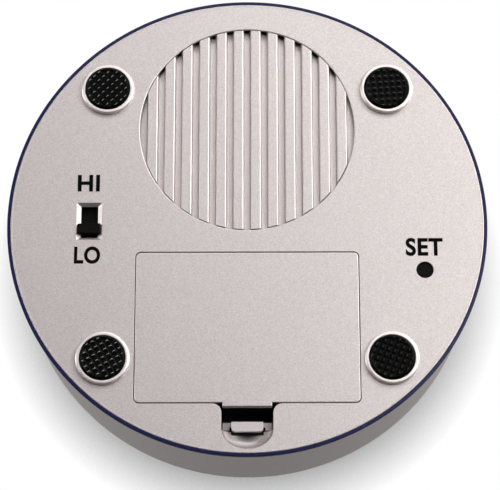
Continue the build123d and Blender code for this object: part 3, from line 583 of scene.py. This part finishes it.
def knurlAway(x, y, turn):
    # how far the nearest tip is along each of the two diagonals, 1 being the deepest groove
    along = x * cos(turn) + y * sin(turn)
    across = y * cos(turn) - x * sin(turn)
    phases = [along / knurl["pitch"] + sign * across / (2 * knurl["row"]) for sign in (-1, 1)]
    return [abs(phase - round(phase)) * 2 for phase in phases]


def glintTips(shape, middle, flat, turn):
    # the second finish, a painted glint, on a narrow line at each tip, within the flat radius
    halfWidth, halfLength = knurl["streak"]
    for face in shape.faces:
        spot = face.calc_center_median() - middle
        lengthwise, sideways = knurlAway(spot.x, spot.y, turn)
        if hypot(spot.x, spot.y) < flat and sideways < halfWidth and lengthwise < halfLength:
            face.material_index = 1


def knurledFoot(node, degrees, ridge):
    low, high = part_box(node)
    middle = (low + high) / 2
    radius = (high.x - low.x) / 2
    turn = radians(degrees)
    flat = radius - knurl["edge"]
    segments = knurl["segments"]
    # the circles' radii and heights; the knurl gives the height where there is none
    circles = [(flat * n / knurl["rings"], None) for n in range(1, knurl["rings"] + 1)]
    circles += [(radius, low.z + knurl["edge"]), (radius, high.z)]
    shape = bmesh.new()
    centre = shape.verts.new((middle.x, middle.y, low.z))
    rows = []
    for r, height in circles:
        row = []
        for n in range(segments):
            angle = 2 * pi * n / segments
            x, y = r * cos(angle), r * sin(angle)
            z = height
            if z is None:
                share = min(1, (flat - r) / knurl["edge"])
                z = low.z + share * knurl["height"] * max(knurlAway(x, y, turn))
            row.append(shape.verts.new((middle.x + x, middle.y + y, z)))
        rows.append(row)
    for n in range(segments):
        after = (n + 1) % segments
        shape.faces.new((centre, rows[0][after], rows[0][n]))
        for inner, outer in zip(rows, rows[1:]):
            shape.faces.new((inner[n], inner[after], outer[after], outer[n]))
    shape.faces.new(rows[-1])
    bmesh.ops.recalc_face_normals(shape, faces=shape.faces[:])
    glintTips(shape, middle, flat, turn)
    mesh = meshFrom(node + "_knurled", shape)
    piece = addPiece(node + "_knurled", mesh, "case", "rubber", finishes["rubber"], finishes[ridge])
    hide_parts(node)


for node, (degrees, ridge) in knurl["feet"].items():
    knurledFoot(node, degrees, ridge)
print("feet are knurled")


def turnedMesh(name, profile, turns=192, sharpFrom=35):
    # profile is a closed outline of (radius, height) about the clock's axis; corners from sharpFrom degrees
    # stay hard
    shape = bmesh.new()
    rings = []
    for n in range(turns):
        angle = 2 * pi * n / turns
        rings.append([shape.verts.new((r * cos(angle), r * sin(angle), z)) for r, z in profile])
    for n in range(turns):
        here, after = rings[n], rings[(n + 1) % turns]
        for m in range(len(profile)):
            up = (m + 1) % len(profile)
            shape.faces.new((here[m], after[m], after[up], here[up]))
    bmesh.ops.recalc_face_normals(shape, faces=shape.faces[:])
    mesh = meshFrom(name, shape)
    mesh.polygons.foreach_set("use_smooth", [True] * len(mesh.polygons))
    mesh.set_sharp_from_angle(angle=radians(sharpFrom))
    return mesh


def quarter(r, z, radius, start, steps=6):
    # points of a round corner about (r, z), through the 90 degrees from start
    turns = [radians(start + 90 * n / steps) for n in range(steps + 1)]
    return [(r + radius * cos(turn), z + radius * sin(turn)) for turn in turns]


rim = {
    "lip": 0.60 * mm,           # how wide the blue ring shows inside its CAD solid's edge
    "outward": 0.2 * mm,        # and how far it stands out past it
    "inward": 0.45 * mm,        # how wide the band is that rounds the plate's edge
    "proud": 0.012 * mm,
    "thick": 0.30 * mm,
    "round": 0.14 * mm,
    "chamfer": 0.1 * mm,
}


def plateRim():
    # the plate's painted edge, rounded where it meets the blue ring, and the ring as wide as it shows
    ringLow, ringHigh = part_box("trim_ring")
    outer = ringHigh.x + rim["outward"]
    seam = ringHigh.x - rim["lip"]
    inner = seam - rim["inward"]
    face = ringLow.z - rim["proud"]
    top = face + rim["thick"]
    band = [(inner, face + rim["proud"] / 2), (inner + rim["chamfer"], face)]
    band += quarter(seam - rim["round"], face + rim["round"], rim["round"], 270)
    band += [(seam, top), (inner, top)]
    addPiece("plate_rim", turnedMesh("plate_rim", band), "case", "silver_plastic", finishes["plate"])
    ring = [(seam, ringLow.z)]
    ring += quarter(outer - rim["round"], ringLow.z + rim["round"], rim["round"], 270)
    ring += [(outer, ringHigh.z), (seam, ringHigh.z)]
    mesh = turnedMesh("trim_ring_lip", ring)
    piece = addPiece("trim_ring_lip", mesh, "case", "blue_plastic", finishes["blue"])
    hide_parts("trim_ring")


plateRim()
print("the plate's rim is rolled")


# left, right, bottom and top of each word in picture millimetres on the plate
legends = {
    "hi": {"text": "HI", "box": (-39.38, -34.22, 7.45, 11.57)},
    "lo": {"text": "LO", "box": (-39.85, -33.82, -10.19, -5.99)},
    "set": {"text": "SET", "box": (36.47, 45.01, -8.46, -4.07)},
}
ink = {
    "depth": 0.02 * mm,
    "spread": 0.034,            # how far each stroke grows over the font's own
    "spacing": 1.08,            # from letter to letter, against the font's own
}


def legend(name, text, box):
    curve = bpy.data.curves.new(name, "FONT")
    curve.body = text
    curve.offset = ink["spread"]
    curve.space_character = ink["spacing"]
    curve.extrude = 0.5         # any thickness does, since the loop below brings it to the ink's depth
    mesh = meshFromCurve(name, curve)
    xs = [v.co.x for v in mesh.vertices]
    ys = [v.co.y for v in mesh.vertices]
    zs = [v.co.z for v in mesh.vertices]
    left, right, bottom, top = (value * mm for value in box)
    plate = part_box("battery_cover")[0].z
    for v in mesh.vertices:
        x = left + (v.co.x - min(xs)) / (max(xs) - min(xs)) * (right - left)
        y = bottom + (v.co.y - min(ys)) / (max(ys) - min(ys)) * (top - bottom)
        z = plate - (v.co.z - min(zs)) / (max(zs) - min(zs)) * ink["depth"]
        v.co = (-x, y, z)
    addPiece("legend_" + name, mesh, "case", "black_plastic", finishes["print"])


for name, word in legends.items():
    legend(name, word["text"], word["box"])
print("legends are printed")


def wireMesh(name, paths, wire):
    # round wires through the points of each path
    curve = bpy.data.curves.new(name, "CURVE")
    curve.dimensions = "3D"
    curve.bevel_depth = wire / 2
    curve.bevel_resolution = 3
    curve.use_fill_caps = True
    for path in paths:
        spline = curve.splines.new("POLY")
        spline.points.add(len(path) - 1)
        for point, place in zip(spline.points, path):
            point.co = (*place, 1)
    return meshFromCurve(name, curve)


def helix(centre, axis, side, footRadius, tipRadius, length, turns, closed=0.8, steps=28):
    # a coil from centre along axis, with closed turns lying flat at both ends
    across = side.normalized()
    up = axis.cross(across)
    path = []
    count = int(turns * steps)
    for n in range(count + 1):
        turn = n / count * turns
        rise = min(1, max(0, (turn - closed) / (turns - 2 * closed)))
        radius = footRadius + (tipRadius - footRadius) * rise
        angle = 2 * pi * turn
        path.append(centre + axis * (length * rise) + radius * (across * cos(angle) + up * sin(angle)))
    return path


buttonSpring = {"wire": 0.5 * mm, "radius": 2.4 * mm, "turns": 5.5}


def buttonSprings():
    # four coils on the shelf, one under each quarter of the talk button
    low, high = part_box("button_springs")
    wire = buttonSpring["wire"]
    turns = buttonSpring["turns"]
    out = high.x - buttonSpring["radius"]
    radius = buttonSpring["radius"] - wire / 2
    length = high.z - low.z - wire
    up, side = Vector((0, 0, 1)), Vector((1, 0, 0))
    paths = []
    for n in range(4):
        turn = radians(90 * n)
        foot = Vector((out * cos(turn), out * sin(turn), low.z + wire / 2))
        paths.append(helix(foot, up, side, radius, radius, length, turns))
    mesh = wireMesh("button_spring_coils", paths, wire)
    coils = addPiece("button_spring_coils", mesh, "case", "spring_steel", finishes["spring"])
    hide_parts("button_springs")
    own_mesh(coils)


buttonSprings()
print("button springs are wound")


cellNodes = ("battery_cell_1", "battery_cell_2", "battery_cell_3")
cell = {
    "bead": 0.35 * mm,          # rolled edge round each end
    "beadRound": 0.3,           # how much of the bead its bevel leaves, 0 being a square corner
    "dish": 0.15 * mm,          # how deep the flat end is sunk
    "dishEdge": (0.72, 0.8),    # where the sunk part ends, and the flat begins, in radii
    "cap": 4.6 * mm,            # radius of the shoulder that the nub stands on
    "capSlope": 0.9,            # where its slope ends, in its own radii
    "groove": 0.2 * mm,         # how deep the ring round the nub is sunk
    "grooveFoot": 0.3 * mm,     # how far from the nub it starts to rise
    "nub": 1.9 * mm,
    "nubLength": 0.9 * mm,
    "nubEdge": (0.25 * mm, 0.2 * mm),       # inwards, and along the nub
    "band": 9.0 * mm,           # lighter stretch of the sleeve at the nub's end
    "segments": 64,
    "sharpFrom": 40,            # degrees
}


def cellProfile(radius, length):
    # (radius, distance from the flat end, finish of the face that ends here), from the middle of the flat end
    # to the middle of the nub
    sleeve, metal, band = 0, 1, 2
    can = length - cell["nubLength"]
    bead = cell["bead"]
    corner = bead * cell["beadRound"]
    nub = cell["nub"]
    edgeIn, edgeAlong = cell["nubEdge"]
    floor = can - cell["groove"]
    dishInner, dishOuter = (radius * share for share in cell["dishEdge"])
    flatEnd = [(0, cell["dish"], metal), (dishInner, cell["dish"], metal), (dishOuter, 0, metal),
               (radius - bead, 0, metal)]
    side = [(radius - corner, corner, sleeve), (radius, bead, sleeve), (radius, can - cell["band"], sleeve),
            (radius, can - bead, band), (radius - corner, can - corner, band), (radius - bead, can, band)]
    shoulder = [(cell["cap"], can, metal), (cell["cap"] * cell["capSlope"], floor, metal),
                (nub + cell["grooveFoot"], floor, metal), (nub, can, metal)]
    tip = [(nub, length - edgeAlong, metal), (nub - edgeIn, length, metal), (0, length, metal)]
    return flatEnd + side + shoulder + tip


def cellMesh(name, low, high, side):
    # turned about X; side is 1 where the nub points to +X
    middle = (low + high) / 2
    profile = cellProfile((high.z - low.z) / 2, high.x - low.x)
    start = low.x if side > 0 else high.x
    segments = cell["segments"]
    shape = bmesh.new()
    rings = []
    for r, along, _ in profile:
        ring = []
        for n in range(segments if r else 1):
            angle = 2 * pi * n / segments
            place = (start + side * along, middle.y + r * cos(angle), middle.z + r * sin(angle))
            ring.append(shape.verts.new(place))
        rings.append(ring)
    for first, second, (_, _, finish) in zip(rings, rings[1:], profile[1:]):
        for n in range(segments):
            places = ((first, n), (first, n + 1), (second, n + 1), (second, n))
            corners = [ring[m % len(ring)] for ring, m in places]
            face = shape.faces.new(list(dict.fromkeys(corners)))      # three corners at either end's middle
            face.material_index = finish
            face.smooth = True
    bmesh.ops.recalc_face_normals(shape, faces=shape.faces[:])
    mesh = meshFrom(name, shape)
    mesh.set_sharp_from_angle(angle=radians(cell["sharpFrom"]))
    return mesh


def bar(shape, x, y, z, length, width, thick):
    # a closed box about (x, y, z)
    made = bmesh.ops.create_cube(shape, size=1)["verts"]
    for v in made:
        v.co = (x + v.co.x * length, y + v.co.y * width, z + v.co.z * thick)


sign = {
    "size": 2.2 * mm,
    "stroke": 0.5 * mm,
    "sunk": 0.03 * mm,          # the bars' middles lie this far inside the sleeve
    "thick": 0.09 * mm,
    "crossThick": 0.14 * mm,    # the second bar of a plus
}


def cellSigns(name, low, high, side):
    # a plus by the nub and a minus by the flat end, on the face that the open compartment shows
    middle = (low + high) / 2
    shape = bmesh.new()
    z = low.z + sign["sunk"]
    out = (high.x - low.x) / 2 - cell["band"] / 2
    plus, minus = middle.x + side * out, middle.x - side * out
    bar(shape, plus, middle.y, z, sign["size"], sign["stroke"], sign["thick"])
    bar(shape, plus, middle.y, z, sign["stroke"], sign["size"], sign["crossThick"])
    bar(shape, minus, middle.y, z, sign["size"], sign["stroke"], sign["thick"])
    return meshFrom(name, shape)


def batteryCells():
    # every second cell lies the other way round
    looks = (finishes["cell"], finishes["contact"], finishes["band"])
    for n, node in enumerate(cellNodes):
        low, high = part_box(node)
        side = 1 if n % 2 == 0 else -1
        mesh = cellMesh(node + "_sleeved", low, high, side)
        piece = addPiece(node + "_sleeved", mesh, "case", "battery_cell", *looks)
        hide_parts(node)
        signs = cellSigns(node + "_signs", low, high, side)
        addPiece(node + "_signs", signs, "case", "battery_cell", finishes["sign"])


contactSpring = {
    "plate": 0.4 * mm,
    "edge": 0.12 * mm,
    "wire": 0.5 * mm,
    "foot": 4.0 * mm,           # the coil's radius on the plate
    "tip": 2.7 * mm,            # and at the cell
    "length": 3.4 * mm,
    "turns": 4.2,
    # radius and height over the plate, from the bump's foot, just inside the plate, to its top
    "bump": ((2.2 * mm, -0.1 * mm), (2.0 * mm, 0.12 * mm), (1.5 * mm, 0.32 * mm), (0.9 * mm, 0.4 * mm)),
    "segments": 32,
}


def contactBump(shape, face, side, y, z):
    count = contactSpring["segments"]
    rings = []
    for r, out in contactSpring["bump"]:
        turns = [2 * pi * n / count for n in range(count)]
        rings.append([shape.verts.new((face - side * out, y + r * cos(turn), z + r * sin(turn)))
                      for turn in turns])
    for wider, inner in zip(rings, rings[1:]):
        for n in range(count):
            after = (n + 1) % count
            shape.faces.new((wider[n], wider[after], inner[after], inner[n]))
    shape.faces.new(rings[-1])
    shape.faces.new(rings[0])


def contactMesh(name, low, high, side, bumpY, coilY):
    # a spring-metal plate; a bump meets a nub, a conical coil a flat end
    shape = bmesh.new()
    plate = contactSpring["plate"]
    outer = high.x if side > 0 else low.x
    face = outer - side * plate
    middle = (low + high) / 2
    bar(shape, (outer + face) / 2, middle.y, middle.z, plate, high.y - low.y, high.z - low.z)
    bmesh.ops.bevel(shape, geom=shape.edges[:] + shape.verts[:], offset=contactSpring["edge"], segments=2,
                    affect="EDGES")
    if bumpY is not None:
        contactBump(shape, face, side, bumpY, middle.z)
    if coilY is not None:
        wire = contactSpring["wire"]
        foot = Vector((face - side * wire / 2, coilY, middle.z))
        path = helix(foot, Vector((-side, 0, 0)), Vector((0, 0, 1)), contactSpring["foot"] - wire / 2,
                     contactSpring["tip"] - wire / 2, contactSpring["length"] - wire, contactSpring["turns"])
        shape.from_mesh(wireMesh(name + "_coil", [path], wire))
    bmesh.ops.recalc_face_normals(shape, faces=shape.faces[:])
    return meshFrom(name, shape)


def batteryContacts():
    # each contact's side, and the places along Y of its bump and its coil
    first, second, third = ((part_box(node)[0].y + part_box(node)[1].y) / 2 for node in cellNodes)
    contacts = {
        "contact_negative": (-1, None, first),
        "contact_link_first": (1, first, second),
        "contact_link_second": (-1, second, third),
        "contact_positive": (1, third, None),
    }
    for node, (side, bumpY, coilY) in contacts.items():
        mesh = contactMesh(node + "_wound", *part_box(node), side, bumpY, coilY)
        piece = addPiece(node + "_wound", mesh, "case", "contact_metal", finishes["contact"])
        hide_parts(node)


batteryCells()
batteryContacts()
print("battery compartment is fitted")


keypad = {
    "foot": 5.0 * mm,           # the skirt's radius on the flange
    "tip": 3.2 * mm,            # and at its top
    "wall": 0.9 * mm,
    "flange": 0.8 * mm,
    "hole": 0.4 * mm,
    # the rounded shoulder's points, outwards from the tip and down from the top
    "shoulder": ((0.5 * mm, 0.8 * mm), (0.1 * mm, 0.3 * mm), (-0.4 * mm, 0)),
    "segments": 64,
    "keep": 0.685,              # share of its height left at full press
}


def siliconeDome():
    # the button's contact dome, a thin skirt that folds when the plunger comes down
    low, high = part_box("contact_dome")
    middle = (low + high) / 2
    out = high.x - middle.x
    shelf = low.z + keypad["flange"]
    under = high.z - keypad["wall"]
    outline = [(out, low.z), (out, shelf), (keypad["foot"], shelf)]
    outline += [(keypad["tip"] + wider, high.z - down) for wider, down in keypad["shoulder"]]
    outline += [(keypad["hole"], high.z), (keypad["hole"], under)]
    outline += [(keypad["tip"] - keypad["wall"], under), (keypad["foot"] - keypad["wall"], low.z)]
    mesh = turnedMesh("contact_dome_skin", outline, keypad["segments"])
    mesh.transform(Matrix.Translation((middle.x, middle.y, 0)))
    skin = addPiece("contact_dome_skin", mesh, "case", "rubber", finishes["silicone"])
    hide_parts("contact_dome")
    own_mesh(skin)


siliconeDome()
print("the contact dome has its skirt")
